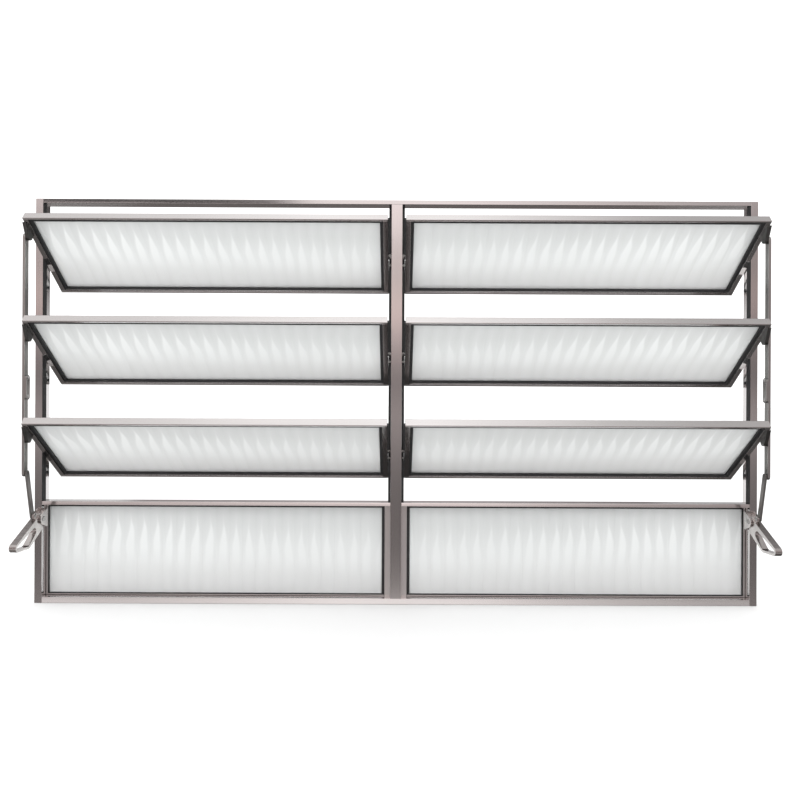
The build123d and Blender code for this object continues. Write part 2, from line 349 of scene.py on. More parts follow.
SIDES = (("left", -1), ("right", 1))
seal_rubber = rubber("seal_rubber")
for side, sign in SIDES:
    jamb_low, jamb_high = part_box(side + "_jamb")
    inner_x = jamb_low.x if sign > 0 else jamb_high.x
    strip_x = sorted((inner_x, inner_x - sign * SEAL_THICKNESS))
    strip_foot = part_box(side + "_transom")[1].z
    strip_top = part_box("head")[0].z
    seal_y = jamb_low.y + SEAL_SETBACK
    strip_low = Vector((strip_x[0], seal_y, strip_foot))
    strip_high = Vector((strip_x[1], seal_y + JAMB_SEAL_WIDTH, strip_top))
    strip = eased_bars([(strip_low, strip_high)], SEAL_EASE)
    bar_piece(side + "_jamb_seal", strip, seal_rubber)
    # Painted shade: a black strip on each edge of the mullion's flange, where the flange lies in shade.
    flange_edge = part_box("mullion")[1].x
    strip_x = sorted((sign * NOSE_HALF, sign * flange_edge))
    strip_low = Vector((strip_x[0], FLANGE_FRONT - FLANGE_SHADE_STRIP_THICKNESS, strip_foot))
    strip_high = Vector((strip_x[1], FLANGE_FRONT, strip_top))
    strip = eased_bars([(strip_low, strip_high)], FLANGE_SHADE_STRIP_EASE)
    bar_piece(side + "_mullion_seal", strip, seal_rubber)


# The fixed lights
# Below the transom a pane of fluted glass stands in each bay, between satin aluminium stops. It is
# bedded in black rubber, which shows as a dark line, and a thin bead lies on the rubber at its foot
# and by the jamb. Its glass is made with the other panes.

STOP_EDGE_EASE = 0.00025
GASKET_EDGE_EASE = 0.0004
SATIN_DULLING = 0.24
FIXED_GASKET_DEPTH = 0.0025
BEAD_FACE = 0.0012
JAMB_BEAD_FACE = 0.0023
BEAD_DEPTH = 0.0010
BEAD_EASE = 0.0002


def pane_size(node, tilt):
    """Width, thickness and height of a CAD pane that is turned about X, from the box round it."""
    low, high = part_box(node)
    deep = high.y - low.y
    tall = high.z - low.z
    sine = math.sin(tilt)
    cosine = math.cos(tilt)
    thickness = (deep * cosine - tall * sine) / (cosine ** 2 - sine ** 2)
    height = (tall * cosine - deep * sine) / (cosine ** 2 - sine ** 2)
    return high.x - low.x, thickness, height


def bead(name, node, tilt, gasket_depth, material, jamb_sign=0):
    """Bead on the gasket along a pane's foot, and up its side by the jamb where a sign is given."""
    half_width, half_thickness, half_height = (size / 2 for size in pane_size(node, tilt))
    front = -half_thickness - gasket_depth - BEAD_DEPTH
    back = front + BEAD_DEPTH
    foot_top = -half_height + BEAD_FACE
    bars = [(Vector((-half_width, front, -half_height)), Vector((half_width, back, foot_top)))]
    if jamb_sign:
        inner, outer = sorted((jamb_sign * half_width, jamb_sign * (half_width - JAMB_BEAD_FACE)))
        bars.append((Vector((inner, front, foot_top)), Vector((outer, back, half_height))))
    shape = eased_bars(bars, BEAD_EASE)
    low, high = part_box(node)
    set_in = Matrix.Translation((low + high) / 2) @ Matrix.Rotation(tilt, 4, "X")
    bmesh.ops.transform(shape, matrix=set_in, verts=shape.verts)
    bar_piece(name, shape, material)


satin_aluminium = drawn_aluminium("satin_bar_aluminium", UPRIGHT_LINES, UPRIGHT_WAVES, SATIN_DULLING)
for side, sign in SIDES:
    eased_copy(side + "_fixed_stops", STOP_EDGE_EASE, satin_aluminium)
    eased_copy(side + "_fixed_gasket", GASKET_EDGE_EASE, seal_rubber)
    bead(
        side + "_fixed_bead", side + "_fixed_glass", 0.0, FIXED_GASKET_DEPTH, satin_aluminium,
        sign,
    )


# The sash frames
# Each sash is an aluminium frame with its rails running through and its stiles between them, and
# it turns on two pins. A gasket and a thin bead hold its pane, and a rubber strip lies along its
# inner stile. The inner stiles and those on the left stand in the shade, which is painted into
# their colour as a darker aluminium.

ROWS = ("top", "middle", "lower")
SASH_EDGE_EASE = 0.0003
SASH_TILT = math.radians(53)
SASH_GASKET_DEPTH = 0.0035
PIVOT_Y = -0.006
PIVOT_BELOW_PANE = 0.00336
SLOPING_LINES = (700.0, 3.0, 3.0)
SLOPING_WAVES = (110.0, 5.0, 5.0)
STILE_LAP = 0.0005
STILE_FOOT = -0.0595
STILE_TOP = 0.0666
INNER_STILE_PAINTED_SHADE = 0.80
LEFT_STILE_PAINTED_SHADE = 0.62
STILE_EDGE = 0.012
STILE_SEAL_SPANS = ((-0.0632, -0.0030, 0.0009), (0.0030, 0.0695, 0.0022))
STILE_SEAL_FRONT = 0.0052
STILE_SEAL_BACK = 0.0012

glass_low, glass_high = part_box("right_top_sash_glass")
BAY_MIDDLE = (glass_low.x + glass_high.x) / 2
STILE_START = (glass_high.x - glass_low.x) / 2 - STILE_LAP


def sash_aluminium():
    """Polished aluminium with its draw lines along X on the rails and up the sash on the stiles, and
    painted shade darkening the inner and left stiles between the rails.
    """
    finish = Finish("sash_aluminium")
    x = finish.axes()[0]
    on_stile = abs(abs(x) - BAY_MIDDLE) > STILE_START
    lines = finish.mix_vector(on_stile, finish.stretched(LEVEL_LINES), finish.stretched(SLOPING_LINES))
    waves = finish.mix_vector(on_stile, finish.stretched(LEVEL_WAVES), finish.stretched(SLOPING_WAVES))
    height = finish.node("ShaderNodeAttribute", {"attribute_name": "sash_height"})["Fac"]
    between_rails = (height > STILE_FOOT) * (height < STILE_TOP)
    # Painted shade on the inner stiles and those on the left, between the rails.
    shade = (abs(x) < BAY_MIDDLE) * INNER_STILE_PAINTED_SHADE + (x < -BAY_MIDDLE) * LEFT_STILE_PAINTED_SHADE
    return polish(finish, lines, waves, painted_shade=on_stile * between_rails * shade)


def pivot_height(sash):
    """Height of a sash's pivots, which lie a little below the middle of its pane."""
    low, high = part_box(sash + "_glass")
    return (low.z + high.z) / 2 - PIVOT_BELOW_PANE


def note_height(piece, pivot_z):
    """Store on a sash's vertices how far up the sash they lie from its pivots."""
    heights = piece.data.attributes.new("sash_height", "FLOAT", "POINT")
    for vert, height in zip(piece.data.vertices, heights.data):
        rise = (vert.co.z - pivot_z) * math.cos(SASH_TILT)
        height.value = rise - (vert.co.y - PIVOT_Y) * math.sin(SASH_TILT)


def stile_seal(sash, sign, pivot_z):
    """Rubber along a sash's inner stile, thin below its pivot and wide above, where there is room."""
    bars = []
    for foot, top, thickness in STILE_SEAL_SPANS:
        left, right = sorted((sign * STILE_EDGE, sign * (STILE_EDGE - thickness)))
        bars.append((Vector((left, -STILE_SEAL_FRONT, foot)), Vector((right, -STILE_SEAL_BACK, top))))
    strip = eased_bars(bars, SEAL_EASE)
    tilted = Matrix.Translation((0, PIVOT_Y, pivot_z)) @ Matrix.Rotation(SASH_TILT, 4, "X")
    bmesh.ops.transform(strip, matrix=tilted, verts=strip.verts)
    bar_piece(sash + "_stile_seal", strip, seal_rubber)


sash_finish = sash_aluminium()
for side, sign in SIDES:
    for row in ROWS:
        sash = side + "_" + row + "_sash"
        pivot_z = pivot_height(sash)
        sash_frame = eased_copy(sash + "_frame", SASH_EDGE_EASE, sash_finish)
        note_height(sash_frame, pivot_z)
        eased_copy(sash + "_gasket", GASKET_EDGE_EASE, seal_rubber)
        stile_seal(sash, sign, pivot_z)
        bead(sash + "_bead", sash + "_glass", SASH_TILT, SASH_GASKET_DEPTH, sash_finish)


# The panes
# Every pane is rolled glass, 4 mm thick and pale, with upright convex flutes on its room side.
# The light on the flutes is painted into the glass's colour: each flute holds a painted highlight,
# a bright wedge that opens towards the pane's middle height. The colour also holds painted light and
# shade over each pane's height, and painted shade on the fixed panes below the transom.

FLUTE_PITCH = 0.0185
FLUTE_DEPTH = 0.00035
PANE_MARGIN = 0.008
PANE_SLICES = 560
HALF_WINDOW = 0.49
WANDER_SCALE = (9.0, 16.0, 16.0)
WEDGE_MIDDLE = 0.60
WEDGE_LIFT = 0.20
WEDGE_WANDER = 0.16
WEDGE_RISE = 0.32
WEDGE_FADE = 0.10
WEDGE_FALL = 0.27
WEDGE_TIP = 0.80
WEDGE_OPENING = 0.55
WEDGE_SOFTNESS = 0.38
WEDGE_LIGHT = 0.45
OUTER_WEDGE_LIGHT = 0.45
OUTER_GLOW = 0.3
CREST_WANDER = 0.7
STREAK_LIGHT = 0.14
STREAK_WANDER = 0.2
GLASS_ROUGHNESS = 0.16
CREST_ROUGHNESS = 0.10
GLASS_IOR = 1.5
GLASS_CLEARNESS = 0.30
FIXED_PAINTED_SHADE_SHARE = 0.22
FIXED_TOP = 0.136
FIXED_PAINTED_SHADE = (0.36, 0.37, 0.37, 1)
WEDGE_BRIGHT = (0.975, 0.99, 0.985, 1)
GLASS_PAINTED_LIGHT_STOPS = (
    (0.0, (0.76, 0.765, 0.765, 1)),
    (0.04, (0.735, 0.745, 0.745, 1)),
    (0.25, (0.77, 0.785, 0.78, 1)),
    (0.48, (0.87, 0.885, 0.88, 1)),
    (0.62, (0.895, 0.905, 0.90, 1)),
    (0.78, (0.85, 0.855, 0.85, 1)),
    (0.955, (0.80, 0.80, 0.80, 1)),
    (0.975, (0.92, 0.92, 0.92, 1)),
    (1.0, (0.95, 0.95, 0.95, 1)),
)


def fluted_glass():
    """Pale glass with painted highlights, wedges of light in its flutes that are brighter towards the
    sides of the window, painted light and shade over each pane's height, and painted shade on the fixed
    panes.
    """
    finish = Finish("fluted_glass")
    x, _, z = finish.axes()
    share = finish.node("ShaderNodeAttribute", {"attribute_name": "pane_height"})["Fac"]
    across = finish.node("ShaderNodeAttribute", {"attribute_name": "flute_place"})["Fac"]
    fall = 1.0 - share
    outward = abs(x) / HALF_WINDOW
    wander = finish.noise(finish.stretched(WANDER_SCALE), detail=1.0) - 0.5
    middle = WEDGE_MIDDLE - outward * WEDGE_LIFT + wander * WEDGE_WANDER
    swayed = across + wander * CREST_WANDER
    crest = swayed.math("PINGPONG", swayed, 0.5) * 2.0
    opening = (fall - middle).step(-WEDGE_RISE, 0.0)
    rising = (fall - middle).step(-WEDGE_RISE - WEDGE_FADE, -WEDGE_RISE / 2)
    closing = (fall - middle).step(WEDGE_FALL, 0.0)
    start = WEDGE_TIP - opening * WEDGE_OPENING
    wedge = (crest - start).step(0.0, WEDGE_SOFTNESS) * rising * closing
    streak = crest * (STREAK_LIGHT + wander * STREAK_WANDER)
    # Painted light and shade over the pane's height, with a painted highlight along its foot.
    base = finish.node("ShaderNodeValToRGB", {"stops": GLASS_PAINTED_LIGHT_STOPS}, {"Fac": fall})[0]
    # Painted highlights: the wedges and streaks in the flutes.
    light = wedge * (WEDGE_LIGHT + outward * OUTER_WEDGE_LIGHT) + streak
    light = light + outward * outward * rising * closing * OUTER_GLOW
    light = light.math("MINIMUM", light, 1.0)
    lit = finish.mix_colour(light, base, WEDGE_BRIGHT)
    return finish.close({
        # Painted shade on the fixed panes below the transom.
        "Base Color": finish.mix_colour((z < FIXED_TOP) * FIXED_PAINTED_SHADE_SHARE, lit, FIXED_PAINTED_SHADE),
        "Roughness": GLASS_ROUGHNESS + crest * CREST_ROUGHNESS,
        "IOR": GLASS_IOR,
        "Transmission Weight": GLASS_CLEARNESS,
    })


def tree_bench(name, inputs):
    """Bench for a Geometry Nodes tree with the given inputs beside its geometry."""
    tree = bpy.data.node_groups.new(name, "GeometryNodeTree")
    tree.is_modifier = True
    tree.interface.new_socket("Geometry", in_out="INPUT", socket_type="NodeSocketGeometry")
    for title, kind in inputs:
        tree.interface.new_socket(title, in_out="INPUT", socket_type=kind)
    tree.interface.new_socket("Geometry", in_out="OUTPUT", socket_type="NodeSocketGeometry")
    return Bench(tree)


def closed_tree(bench, geometry, material):
    """End a tree with real geometry in its material."""
    real = bench.node("GeometryNodeRealizeInstances", {}, {"Geometry": geometry})[0]
    dressed = bench.node("GeometryNodeSetMaterial", {}, {"Geometry": real, "Material": material})[0]
    bench.node("NodeGroupOutput", {}, {"Geometry": dressed})
    return bench.tree


def pane_tree():
    """Node tree that makes one fluted pane, turned about X and set in its place."""
    bench = tree_bench("fluted_pane", (
        ("Width", "NodeSocketFloat"),
        ("Thickness", "NodeSocketFloat"),
        ("Height", "NodeSocketFloat"),
        ("Pitch", "NodeSocketFloat"),
        ("Depth", "NodeSocketFloat"),
        ("Margin", "NodeSocketFloat"),
        ("Place", "NodeSocketVector"),
        ("Tilt", "NodeSocketVector"),
        ("Glass", "NodeSocketMaterial"),
    ))
    given = bench.node("NodeGroupInput")
    size = bench.node("ShaderNodeCombineXYZ", {}, {
        0: given["Width"], 1: given["Thickness"], 2: given["Height"],
    })
    slab = bench.node("GeometryNodeMeshCube", {}, {
        "Size": size[0], "Vertices X": PANE_SLICES, "Vertices Y": 2, "Vertices Z": 2,
    })["Mesh"]
    place = bench.node("GeometryNodeInputPosition")[0]
    spot = bench.node("ShaderNodeSeparateXYZ", {}, {0: place})
    fluted_width = given["Width"] - given["Margin"] * 2.0
    flutes = fluted_width.math("FLOOR", fluted_width / given["Pitch"])
    across = spot["X"] / given["Pitch"] + flutes * 0.5
    inside = (across > 0.0) * (across < flutes)
    arch = across.math("SINE", across * math.pi)
    valley = given["Depth"] * (1.0 - abs(arch) * inside)
    offset = bench.node("ShaderNodeCombineXYZ", {}, {1: valley})[0]
    room_side = bench.node("FunctionNodeCompare", {"operation": "LESS_THAN"}, {0: spot["Y"], 1: 0.0})[0]
    shaped = bench.node("GeometryNodeSetPosition", {}, {
        "Geometry": slab, "Selection": room_side, "Offset": offset,
    })[0]
    named = bench.node("GeometryNodeStoreNamedAttribute", {"data_type": "FLOAT", "domain": "POINT"}, {
        "Geometry": shaped, "Name": "pane_height", "Value": spot["Z"] / given["Height"] + 0.5,
    })[0]
    named = bench.node("GeometryNodeStoreNamedAttribute", {"data_type": "FLOAT", "domain": "POINT"}, {
        "Geometry": named, "Name": "flute_place", "Value": across,
    })[0]
    set_in = bench.node("GeometryNodeTransform", {}, {
        "Geometry": named, "Translation": given["Place"], "Rotation": given["Tilt"],
    })[0]
    return closed_tree(bench, set_in, given["Glass"])


def grown_mesh(name, tree, inputs, base=None):
    """Run a node tree on a mesh and keep the result as a plain mesh."""
    seed = bpy.data.objects.new(name + "_seed", base or bpy.data.meshes.new(name + "_seed"))
    bpy.context.scene.collection.objects.link(seed)
    grower = seed.modifiers.new("grow", "NODES")
    grower.node_group = tree
    for item in tree.interface.items_tree:
        if item.in_out == "INPUT" and item.name in inputs:
            grower[item.identifier] = inputs[item.name]
    mesh = evaluated_mesh(seed)
    bpy.data.objects.remove(seed)
    mesh.name = name
    return mesh


def pane(node, tilt, glass, tree):
    """Fluted pane in the place of a CAD pane, whose size follows from the CAD pane's box."""
    low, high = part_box(node)
    width, thickness, height = pane_size(node, tilt)
    mesh = grown_mesh(node + "_pane", tree, {
        "Width": width, "Thickness": thickness, "Height": height, "Pitch": FLUTE_PITCH,
        "Depth": FLUTE_DEPTH, "Margin": PANE_MARGIN, "Place": (low + high) / 2,
        "Tilt": Vector((tilt, 0, 0)), "Glass": glass,
    })
    piece = finished_piece(node + "_pane", mesh, glass)
    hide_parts(node)


glass_finish = fluted_glass()
pane_maker = pane_tree()
for side, _ in SIDES:
    pane(side + "_fixed_glass", 0.0, glass_finish, pane_maker)
    for row in ROWS:
        pane(side + "_" + row + "_sash_glass", SASH_TILT, glass_finish, pane_maker)


# The linkage
# A dark steel gusset on each sash carries a flat rod, plated dark, with a painted highlight along
# its front and back edges, and a flat link takes the rod down to the lever. Domed rivets and small
# screws close the joints.

GUSSET_EDGE_EASE = 0.0004
ROD_EDGE_EASE = 0.0005
LINK_EDGE_EASE = 0.0004
DOME_SEGMENTS = 20
DOME_RINGS = 12
RIVET_SIZE = Vector((0.0012, 0.0031, 0.0031))
SCREW_SIZE = Vector((0.0021, 0.0009, 0.0021))
SCREW_STEP = 0.009
SCREW_INSET = 0.0033
SASH_HALF_THICKNESS = 0.0055
LINK_HALF = 0.0035
SPLICE_RIVETS = (0.3105, 0.2855)
ROD_HALF_DEPTH = 0.0045
STEEL_LIGHT = (0.62, 0.61, 0.60, 1)
STEEL_DEEP = (0.40, 0.395, 0.385, 1)
ROD_DULL = (0.24, 0.24, 0.23, 1)
LINK_LIGHT = (0.33, 0.32, 0.31, 1)
LINK_DEEP = (0.22, 0.215, 0.21, 1)
GUSSET_LIGHT = (0.20, 0.20, 0.195, 1)
GUSSET_DEEP = (0.08, 0.08, 0.079, 1)
BRIGHT_ROUGHNESS = 0.22
ROD_ROUGHNESS = 0.26
GUSSET_ROUGHNESS = 0.34
STAINS_IN_ROUGHNESS = 0.12
GRAIN_SCALE = (500.0, 500.0, 30.0)
STAIN_SCALE = 70.0
STAINS_IN_COLOUR = 0.6
GRAIN_IN_COLOUR = 0.4
GRAIN_BUMP = 0.12
GRAIN_DEPTH = 0.0002
EDGE_SHEEN_WANDER = 0.0005
EDGE_SHEEN_WIDTH = 0.0009
FULL_EDGE_SHEEN_WIDTH = 0.0002


def plated_steel(name, light, deep, roughness, edge_sheen=None):
    """Plated steel with a grain along Z and stains, and with a painted highlight in another colour along
    the rod's front and back edges.
    """
    finish = Finish(name)
    grain = finish.noise(finish.stretched(GRAIN_SCALE), detail=3.0)
    stains = finish.noise(finish.place, scale=STAIN_SCALE, detail=3.0)
    colour = finish.mix_colour(stains * STAINS_IN_COLOUR + grain * GRAIN_IN_COLOUR, deep, light)
    # Painted highlight: the rod's faces near its front and back are given a lighter colour.
    if edge_sheen:
        y = finish.axes()[1]
        low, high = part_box("left_rod")
        from_middle = abs(y - (low.y + high.y) / 2) + stains * EDGE_SHEEN_WANDER
        edge = from_middle.step(ROD_HALF_DEPTH - EDGE_SHEEN_WIDTH, ROD_HALF_DEPTH - FULL_EDGE_SHEEN_WIDTH)
        colour = finish.mix_colour(edge, colour, edge_sheen)
    return finish.close({
        "Base Color": colour,
        "Metallic": 1.0,
        "Roughness": roughness + stains * STAINS_IN_ROUGHNESS,
        "Normal": finish.bump(grain, GRAIN_BUMP, GRAIN_DEPTH),
    })


def dome_tree():
    """Node tree that sets a domed head, half sunk, on each point."""
    bench = tree_bench("domed_heads", (
        ("Half Size", "NodeSocketVector"),
        ("Turn", "NodeSocketVector"),
        ("Metal", "NodeSocketMaterial"),
    ))
    given = bench.node("NodeGroupInput")
    ball = bench.node("GeometryNodeMeshUVSphere", {}, {
        "Segments": DOME_SEGMENTS, "Rings": DOME_RINGS, "Radius": 1.0,
    })["Mesh"]
    head = bench.node("GeometryNodeTransform", {}, {
        "Geometry": ball, "Scale": given["Half Size"], "Rotation": given["Turn"],
    })[0]
    heads = bench.node("GeometryNodeInstanceOnPoints", {}, {
        "Points": given["Geometry"], "Instance": head,
    })[0]
    return closed_tree(bench, heads, given["Metal"])


def domed_heads(name, points, half_size, turn, metal):
    """Domed heads of one size on the given points."""
    seeds = bpy.data.meshes.new(name + "_points")
    seeds.from_pydata(points, [], [])
    inputs = {"Half Size": half_size, "Turn": turn, "Metal": metal}
    return finished_piece(name, grown_mesh(name, dome_maker, inputs, seeds), metal)


def on_sash(x, middle_z, outward, along):
    """Place of a point on a sash, from its distances to the pivot towards the room and the top."""
    sine = math.sin(SASH_TILT)
    cosine = math.cos(SASH_TILT)
    return x, PIVOT_Y - along * sine - outward * cosine, middle_z + along * cosine - outward * sine


bright_steel = plated_steel("bright_steel", STEEL_LIGHT, STEEL_DEEP, BRIGHT_ROUGHNESS)
rod_steel = plated_steel("rod_steel", LINK_LIGHT, ROD_DULL, ROD_ROUGHNESS, edge_sheen=STEEL_LIGHT)
link_steel = plated_steel("link_steel", LINK_LIGHT, LINK_DEEP, ROD_ROUGHNESS)
gusset_steel = plated_steel("gusset_steel", GUSSET_LIGHT, GUSSET_DEEP, GUSSET_ROUGHNESS)
dome_maker = dome_tree()
upright = Vector((0, 0, 0))
leaning = Vector((SASH_TILT, 0, 0))
for side, sign in SIDES:
    eased_copy(side + "_sash_arms", GUSSET_EDGE_EASE, gusset_steel)
    eased_copy(side + "_rod", ROD_EDGE_EASE, rod_steel)
    eased_copy(side + "_link", LINK_EDGE_EASE, link_steel)
    rod_low, rod_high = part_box(side + "_rod")
    link_low, link_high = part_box(side + "_link")
    rod_y = (rod_low.y + rod_high.y) / 2
    top_pin_z = rod_high.z - ROD_HALF_DEPTH
    outer_x = rod_high.x if sign > 0 else rod_low.x
    splice_x = rod_low.x if sign > 0 else rod_high.x
    link_x = link_low.x if sign > 0 else link_high.x
    stile_x = sign * (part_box("right_top_sash_frame")[0].x + SCREW_INSET)
    pivots = [pivot_height(side + "_" + row + "_sash") for row in ROWS]
    rivets = [(outer_x, rod_y, top_pin_z + pivot - pivots[0]) for pivot in pivots]
    for height in SPLICE_RIVETS:
        rivets += [(outer_x, rod_y, height), (splice_x, rod_y, height)]
    rivets.append((outer_x, rod_y, link_high.z - LINK_HALF))
    rivets.append((link_x, link_high.y - LINK_HALF, link_low.z + LINK_HALF))
    domed_heads(side + "_rivet_heads", rivets, RIVET_SIZE, upright, bright_steel)
    screws = [
        on_sash(stile_x, pivot, SASH_HALF_THICKNESS, along)
        for pivot in pivots for along in (-SCREW_STEP, SCREW_STEP)
    ]
    domed_heads(side + "_pivot_screws", screws, SCREW_SIZE, leaning, bright_steel)


# The levers
# Each lever is one casting, plated bright, with a finger loop below a round hub. It turns on a pin
# between two ears of a small base on the jamb.

LEVER_LIGHT = (0.84, 0.80, 0.785, 1)
LEVER_DEEP = (0.62, 0.585, 0.575, 1)
LEVER_EDGE_EASE = 0.0012
BASE_EDGE_EASE = 0.0004
LEVER_PIN_SIZE = Vector((0.0010, 0.0036, 0.0036))
BASE_EAR_RADIUS = 0.0075
SKIN_SCALE = 190.0
CASTING_CLOUD_SCALE = 45.0
LEVER_ROUGHNESS = 0.12
SKIN_IN_ROUGHNESS = 0.10
SKIN_BUMP = 0.14
SKIN_DEPTH = 0.0004


def plated_casting(name):
    finish = Finish(name)
    skin = finish.noise(finish.place, scale=SKIN_SCALE, detail=4.0)
    cloud = finish.noise(finish.place, scale=CASTING_CLOUD_SCALE, detail=2.0)
    return finish.close({
        "Base Color": finish.mix_colour(cloud, LEVER_DEEP, LEVER_LIGHT),
        "Metallic": 1.0,
        "Roughness": LEVER_ROUGHNESS + skin * SKIN_IN_ROUGHNESS,
        "Normal": finish.bump(skin, SKIN_BUMP, SKIN_DEPTH),
    })


casting = plated_casting("plated_casting")
for side, _ in SIDES:
    eased_copy(side + "_lever", LEVER_EDGE_EASE, casting, segments=3, shortest=0.0)
    eased_copy(side + "_lever_base", BASE_EDGE_EASE, casting)
    base_low, base_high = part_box(side + "_lever_base")
    pin_y = base_low.y + BASE_EAR_RADIUS
    pin_z = (base_low.z + base_high.z) / 2
    pins = [(base_low.x, pin_y, pin_z), (base_high.x, pin_y, pin_z)]
    domed_heads(side + "_lever_pin_heads", pins, LEVER_PIN_SIZE, upright, bright_steel)


# The studio
# The window stands on a plain white floor in soft white light. Its metal mirrors a dome instead,
# which holds a studio's lit and unlit parts: a table, a dark room, lamps overhead and a back wall.

FLOOR_HEIGHT = -0.0002
FLOOR_REACH = 30.0
WHITE = (1, 1, 1, 1)
FLOOR_WHITE = (0.80, 0.80, 0.80, 1)
FLOOR_LIFT = 0.08
SKY_STRENGTH = 1.45
DOME_RADIUS = 14.0
DOME_CENTRE = Vector((0, 0, 0.283))
DOME_SUBDIVISIONS = 5
ROOM_STOPS = (
    (0.0, (0.20, 0.19, 0.185, 1)),
    (0.23, (0.21, 0.195, 0.19, 1)),
    (0.25, (0.90, 0.86, 0.85, 1)),
    (0.33, (0.96, 0.90, 0.89, 1)),
    (0.345, (0.20, 0.18, 0.175, 1)),
    (0.40, (0.13, 0.115, 0.114, 1)),
    (0.45, (0.17, 0.152, 0.15, 1)),
    (0.465, (0.22, 0.197, 0.195, 1)),
    (0.482, (0.38, 0.335, 0.33, 1)),
    (0.496, (0.33, 0.285, 0.28, 1)),
    (0.508, (0.17, 0.15, 0.148, 1)),
    (0.523, (0.165, 0.146, 0.144, 1)),
    (0.5375, (0.36, 0.32, 0.315, 1)),
    (0.56, (0.70, 0.56, 0.55, 1)),
    (0.5735, (1.0, 0.79, 0.73, 1)),
    (0.582, (0.56, 0.48, 0.465, 1)),
    (0.61, (0.53, 0.47, 0.46, 1)),
    (0.635, (0.97, 0.86, 0.85, 1)),
    (0.72, (0.90, 0.83, 0.82, 1)),
    (0.88, (0.97, 0.94, 0.93, 1)),
    (1.0, (1.0, 0.985, 0.98, 1)),
)
OUTDOOR_STOPS = (
    (0.0, (0.20, 0.19, 0.185, 1)),
    (0.33, (0.11, 0.10, 0.10, 1)),
    (0.40, (0.14, 0.125, 0.12, 1)),
    (0.44, (0.33, 0.31, 0.31, 1)),
    (0.62, (0.40, 0.365, 0.365, 1)),
    (0.75, (0.55, 0.50, 0.50, 1)),
    (1.0, (1.0, 0.985, 0.98, 1)),
)
PATCH_DARK = (0.075, 0.07, 0.07, 1)
LEVER_PATCH = Vector((0.485, 0.55, 0.68))
LEVER_PATCH_EDGE = (0.28, 0.18)
OUTDOORS = (-0.08, 0.08)
WALL_ENDS = (0.36, 0.41)
WALL_FOOT = (-0.20, -0.17)
WALL_TOP = (0.16, 0.12)
DARK_BAND_FOOT = (0.15, 0.18)
DARK_BAND_TOP = (0.36, 0.32)
LAMP_GAP_SIDE = (-0.13, -0.18)
LAMP_GAP_FOOT = (0.33, 0.355)
LAMP_GAP_TOP = (0.50, 0.46)
LEFT_SIDE = (-0.05, -0.46)
RIGHT_SIDE = (0.05, 0.46)
MIDDLE_STRIP = (0.11, 0.05)
UPPER_LAMPS = (0.0, 0.10)
TABLE_FRONT = (-0.31, -0.36)
TABLE_BACK = (-0.70, -0.60)
UNDERFOOT = (-0.60, -0.80)
LEFT_DIMMING = 0.26
RIGHT_DIMMING = 0.52
RIGHT_UNDERFOOT_DIMMING = 0.55
MIDDLE_UNDERFOOT_DIMMING = 0.60
PANEL_SCALE = (7.0, 7.0, 1.5)
PANEL_LIGHT = 0.84
PANEL_SPREAD = 0.32
LAMP_PLACE = Vector((-0.7, -2.4, 1.7))
LAMP_AIM = Vector((0, 0, 0.28))
LAMP_SIZE = 2.4
LAMP_WATTS = 16.0


def studio_piece(name, shape, material, place=Vector()):
    mesh = bpy.data.meshes.new(name)
    shape.to_mesh(mesh)
    shape.free()
    mesh.materials.append(material)
    made = bpy.data.objects.new(name, mesh)
    made.location = place
    bpy.context.scene.collection.objects.link(made)
    return made


def floor_finish():
    """White paper, lifted where it is seen directly, so that only a faint shadow is left on it."""
    finish = Finish("studio_floor")
    path = finish.node("ShaderNodeLightPath")
    seen = path["Is Camera Ray"] + path["Is Transmission Ray"]
    matt = finish.node("ShaderNodeBsdfDiffuse", {}, {"Color": FLOOR_WHITE})[0]
    lift = finish.node("ShaderNodeEmission", {}, {"Strength": seen * FLOOR_LIFT})[0]
    both = finish.node("ShaderNodeAddShader", {}, {0: matt, 1: lift})[0]
    finish.node("ShaderNodeOutputMaterial", {}, {"Surface": both})
    return finish.material


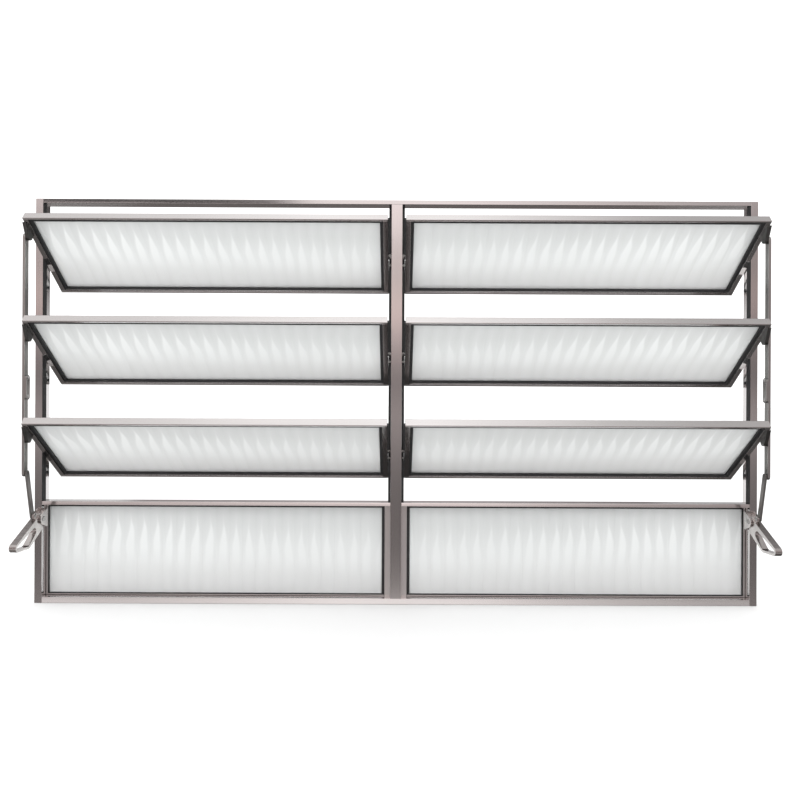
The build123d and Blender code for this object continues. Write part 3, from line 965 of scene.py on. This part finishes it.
def dome_finish():
    """The mirrored surroundings, by the direction in which they lie from the window."""
    finish = Finish("studio_dome")
    direction = finish.stretched((1 / DOME_RADIUS, 1 / DOME_RADIUS, 1 / DOME_RADIUS))
    parts = finish.node("ShaderNodeSeparateXYZ", {}, {"Vector": direction})
    side, depth, rise = parts["X"], parts["Y"], parts["Z"]
    height = rise * 0.5 + 0.5
    outdoors = depth.step(*OUTDOORS)
    wide = abs(side).step(*WALL_ENDS)
    room_shade = finish.node("ShaderNodeValToRGB", {"stops": ROOM_STOPS}, {"Fac": height})[0]
    wall_shade = finish.node("ShaderNodeValToRGB", {"stops": OUTDOOR_STOPS}, {"Fac": height})[0]
    shade = finish.mix_colour(outdoors, room_shade, wall_shade)
    wall_ends = wide * outdoors * rise.step(*WALL_FOOT)
    shade = finish.mix_colour(wall_ends * rise.step(*WALL_TOP), shade, WHITE)
    dark_bands = wall_ends * rise.step(*DARK_BAND_FOOT) * rise.step(*DARK_BAND_TOP)
    shade = finish.mix_colour(dark_bands, shade, PATCH_DARK)
    folded = finish.node("ShaderNodeCombineXYZ", {}, {0: abs(side), 1: depth, 2: rise})[0]
    distance = finish.node("ShaderNodeVectorMath", {"operation": "DISTANCE"}, {0: folded, 1: LEVER_PATCH})
    shade = finish.mix_colour(distance["Value"].step(*LEVER_PATCH_EDGE), shade, PATCH_DARK)
    lamp_gap = side.step(*LAMP_GAP_SIDE) * rise.step(*LAMP_GAP_FOOT) * rise.step(*LAMP_GAP_TOP)
    shade = finish.mix_colour(lamp_gap * (1.0 - outdoors), shade, PATCH_DARK)
    left = side.step(*LEFT_SIDE)
    right = side.step(*RIGHT_SIDE)
    lit = rise.step(*UPPER_LAMPS) + rise.step(*TABLE_FRONT) * rise.step(*TABLE_BACK)
    below = rise.step(*UNDERFOOT)
    middle = abs(side).step(*MIDDLE_STRIP)
    stretched = finish.node("ShaderNodeMapping", {}, {"Vector": direction, "Scale": PANEL_SCALE})[0]
    panels = PANEL_LIGHT + finish.noise(stretched) * PANEL_SPREAD
    strength = (1.0 - lit * (left * LEFT_DIMMING + right * RIGHT_DIMMING)) * panels
    dimming = right * RIGHT_UNDERFOOT_DIMMING + middle * MIDDLE_UNDERFOOT_DIMMING
    strength = strength * (1.0 - below * dimming)
    glow = finish.node("ShaderNodeEmission", {}, {"Color": shade, "Strength": strength})[0]
    finish.node("ShaderNodeOutputMaterial", {}, {"Surface": glow})
    return finish.material


shape = bmesh.new()
bmesh.ops.create_grid(shape, size=FLOOR_REACH)
floor = studio_piece("studio_floor", shape, floor_finish(), Vector((0, 0, FLOOR_HEIGHT)))
floor.visible_glossy = False

shape = bmesh.new()
bmesh.ops.create_icosphere(shape, subdivisions=DOME_SUBDIVISIONS, radius=DOME_RADIUS)
dome = studio_piece("studio_dome", shape, dome_finish(), DOME_CENTRE)
dome.visible_camera = False
dome.visible_diffuse = False
dome.visible_transmission = False
dome.visible_shadow = False
dome.visible_volume_scatter = False

world = bpy.data.worlds.new("studio")
world.use_nodes = True
bpy.context.scene.world = world
surround = Bench(world.node_tree)
surround.tree.nodes.clear()
sky = surround.node("ShaderNodeBackground", {}, {"Color": WHITE, "Strength": SKY_STRENGTH})[0]
surround.node("ShaderNodeOutputWorld", {}, {"Surface": sky})

lamp = bpy.data.lights.new("soft_lamp", "AREA")
lamp.shape = "SQUARE"
lamp.size = LAMP_SIZE
lamp.energy = LAMP_WATTS
lamp_object = bpy.data.objects.new("soft_lamp", lamp)
lamp_object.location = LAMP_PLACE
aim = LAMP_AIM - LAMP_PLACE
lamp_object.rotation_euler = aim.to_track_quat("-Z", "Y").to_euler()
lamp_object.visible_glossy = False
bpy.context.scene.collection.objects.link(lamp_object)


# The camera
# It stands level in front of the window, where the photograph was taken from, and is turned a
# little about its own axis, as the photograph is.

PHOTO_SIZE = 800
PHOTO_CENTRE_X = 396.3
PIXELS_PER_METRE_AT_FRONT = 722.5
CAMERA_TO_FRONT = 0.942
CAMERA_HEIGHT = 0.2832
CAMERA_ROLL = math.radians(-0.26)
SENSOR_WIDTH = 36.0

camera = bpy.data.cameras.new("photo_camera")
camera.sensor_width = SENSOR_WIDTH
camera.lens = SENSOR_WIDTH * PIXELS_PER_METRE_AT_FRONT * CAMERA_TO_FRONT / PHOTO_SIZE
camera.shift_x = (PHOTO_SIZE / 2 - PHOTO_CENTRE_X) / PHOTO_SIZE
camera_object = bpy.data.objects.new("photo_camera", camera)
front_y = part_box("mullion")[0].y
camera_object.location = (0, front_y - CAMERA_TO_FRONT, CAMERA_HEIGHT)
camera_object.rotation_euler = (math.pi / 2, CAMERA_ROLL, 0)
bpy.context.scene.collection.objects.link(camera_object)
bpy.context.scene.camera = camera_object
bpy.context.scene.view_settings.view_transform = "Standard"
